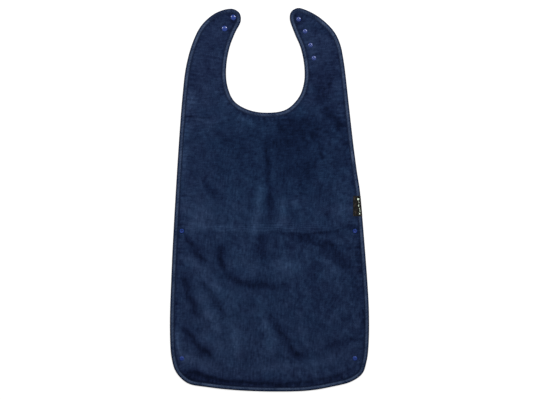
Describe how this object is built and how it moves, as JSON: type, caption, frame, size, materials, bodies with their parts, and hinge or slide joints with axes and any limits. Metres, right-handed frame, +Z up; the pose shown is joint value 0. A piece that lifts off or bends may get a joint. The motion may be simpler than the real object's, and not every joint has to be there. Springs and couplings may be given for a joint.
{
  "type": "adult bib",
  "caption": "Long cloth bib for an adult, lying open face up: pile front, coated back, taped edge, snap neck tabs, folded storage, and a hem that turns up and snaps into a catch pocket.",
  "frame": {"origin": "on the surface that the bib lies on, under the middle of its outline", "axes": "+Z up, out of the pile face; +Y along the bib from the hem to the neck; +X to the right of someone who looks down at the face with the neck at the top"},
  "size_m": [0.4373, 0.8428, 0.0056],
  "materials": {
    "pile_cloth": "short napped pile with crush marks, matt with a soft sheen",
    "backing_cloth": "smooth woven cloth with a waterproof coating, low gloss",
    "binding_tape": "folded satin tape, soft gloss",
    "seam_thread": "spun sewing thread",
    "label_tape": null,
    "snap_plastic": "glossy moulded plastic"
  },
  "bodies": {
    "chest": {"backing_chest": "backing_cloth", "face_chest": "pile_cloth", "binding_neckline": "binding_tape", "binding_chest_left": "binding_tape", "binding_chest_right": "binding_tape", "seam_thread_neckline": "seam_thread", "seam_thread_chest_left": "seam_thread", "seam_thread_above_label": "seam_thread", "seam_thread_below_label": "seam_thread", "side_label": "label_tape"},
    "left_tab": {"backing_left_tab": "backing_cloth", "face_left_tab": "pile_cloth", "binding_left_tab": "binding_tape", "seam_thread_left_tab": "seam_thread", "left_tab_snap_1_cap": "snap_plastic", "left_tab_snap_1_socket": "snap_plastic", "left_tab_snap_2_cap": "snap_plastic", "left_tab_snap_2_socket": "snap_plastic"},
    "right_tab": {"backing_right_tab": "backing_cloth", "face_right_tab": "pile_cloth", "binding_right_tab": "binding_tape", "seam_thread_right_tab": "seam_thread", "right_tab_snap_1_stud": "snap_plastic", "right_tab_snap_1_cap": "snap_plastic", "right_tab_snap_2_stud": "snap_plastic", "right_tab_snap_2_cap": "snap_plastic", "right_tab_snap_3_stud": "snap_plastic", "right_tab_snap_3_cap": "snap_plastic", "right_tab_snap_4_stud": "snap_plastic", "right_tab_snap_4_cap": "snap_plastic"},
    "lap": {"backing_lap": "backing_cloth", "face_lap": "pile_cloth", "binding_lap_left": "binding_tape", "binding_lap_right": "binding_tape", "seam_thread_lap_left": "seam_thread", "seam_thread_lap_right": "seam_thread", "waist_snap_left_socket": "snap_plastic", "waist_snap_left_cap": "snap_plastic", "waist_snap_right_socket": "snap_plastic", "waist_snap_right_cap": "snap_plastic"},
    "pocket": {"backing_pocket": "backing_cloth", "face_pocket": "pile_cloth", "binding_pocket": "binding_tape", "seam_thread_pocket": "seam_thread", "hem_snap_left_stud": "snap_plastic", "hem_snap_left_cap": "snap_plastic", "hem_snap_right_stud": "snap_plastic", "hem_snap_right_cap": "snap_plastic"}
  },
  "joints": [
    {"name": "left_tab_fold", "type": "hinge", "parent": "chest", "child": "left_tab", "pos_m": [-0.135, 0.279, 0.006], "axis": [1, 0, 0], "range_deg": [0, 179.9]},
    {"name": "right_tab_fold", "type": "hinge", "parent": "chest", "child": "right_tab", "pos_m": [0.125, 0.279, 0.006], "axis": [1, 0, 0], "range_deg": [0, 179.9]},
    {"name": "half_fold", "type": "hinge", "parent": "chest", "child": "lap", "pos_m": [0, -0.052, 0.01], "axis": [-1, 0, 0], "range_deg": [0, 179.9]},
    {"name": "pocket_fold", "type": "hinge", "parent": "lap", "child": "pocket", "pos_m": [0, -0.209, 0.0047], "axis": [-1, 0, 0], "range_deg": [0, 179.9]}
  ]
}
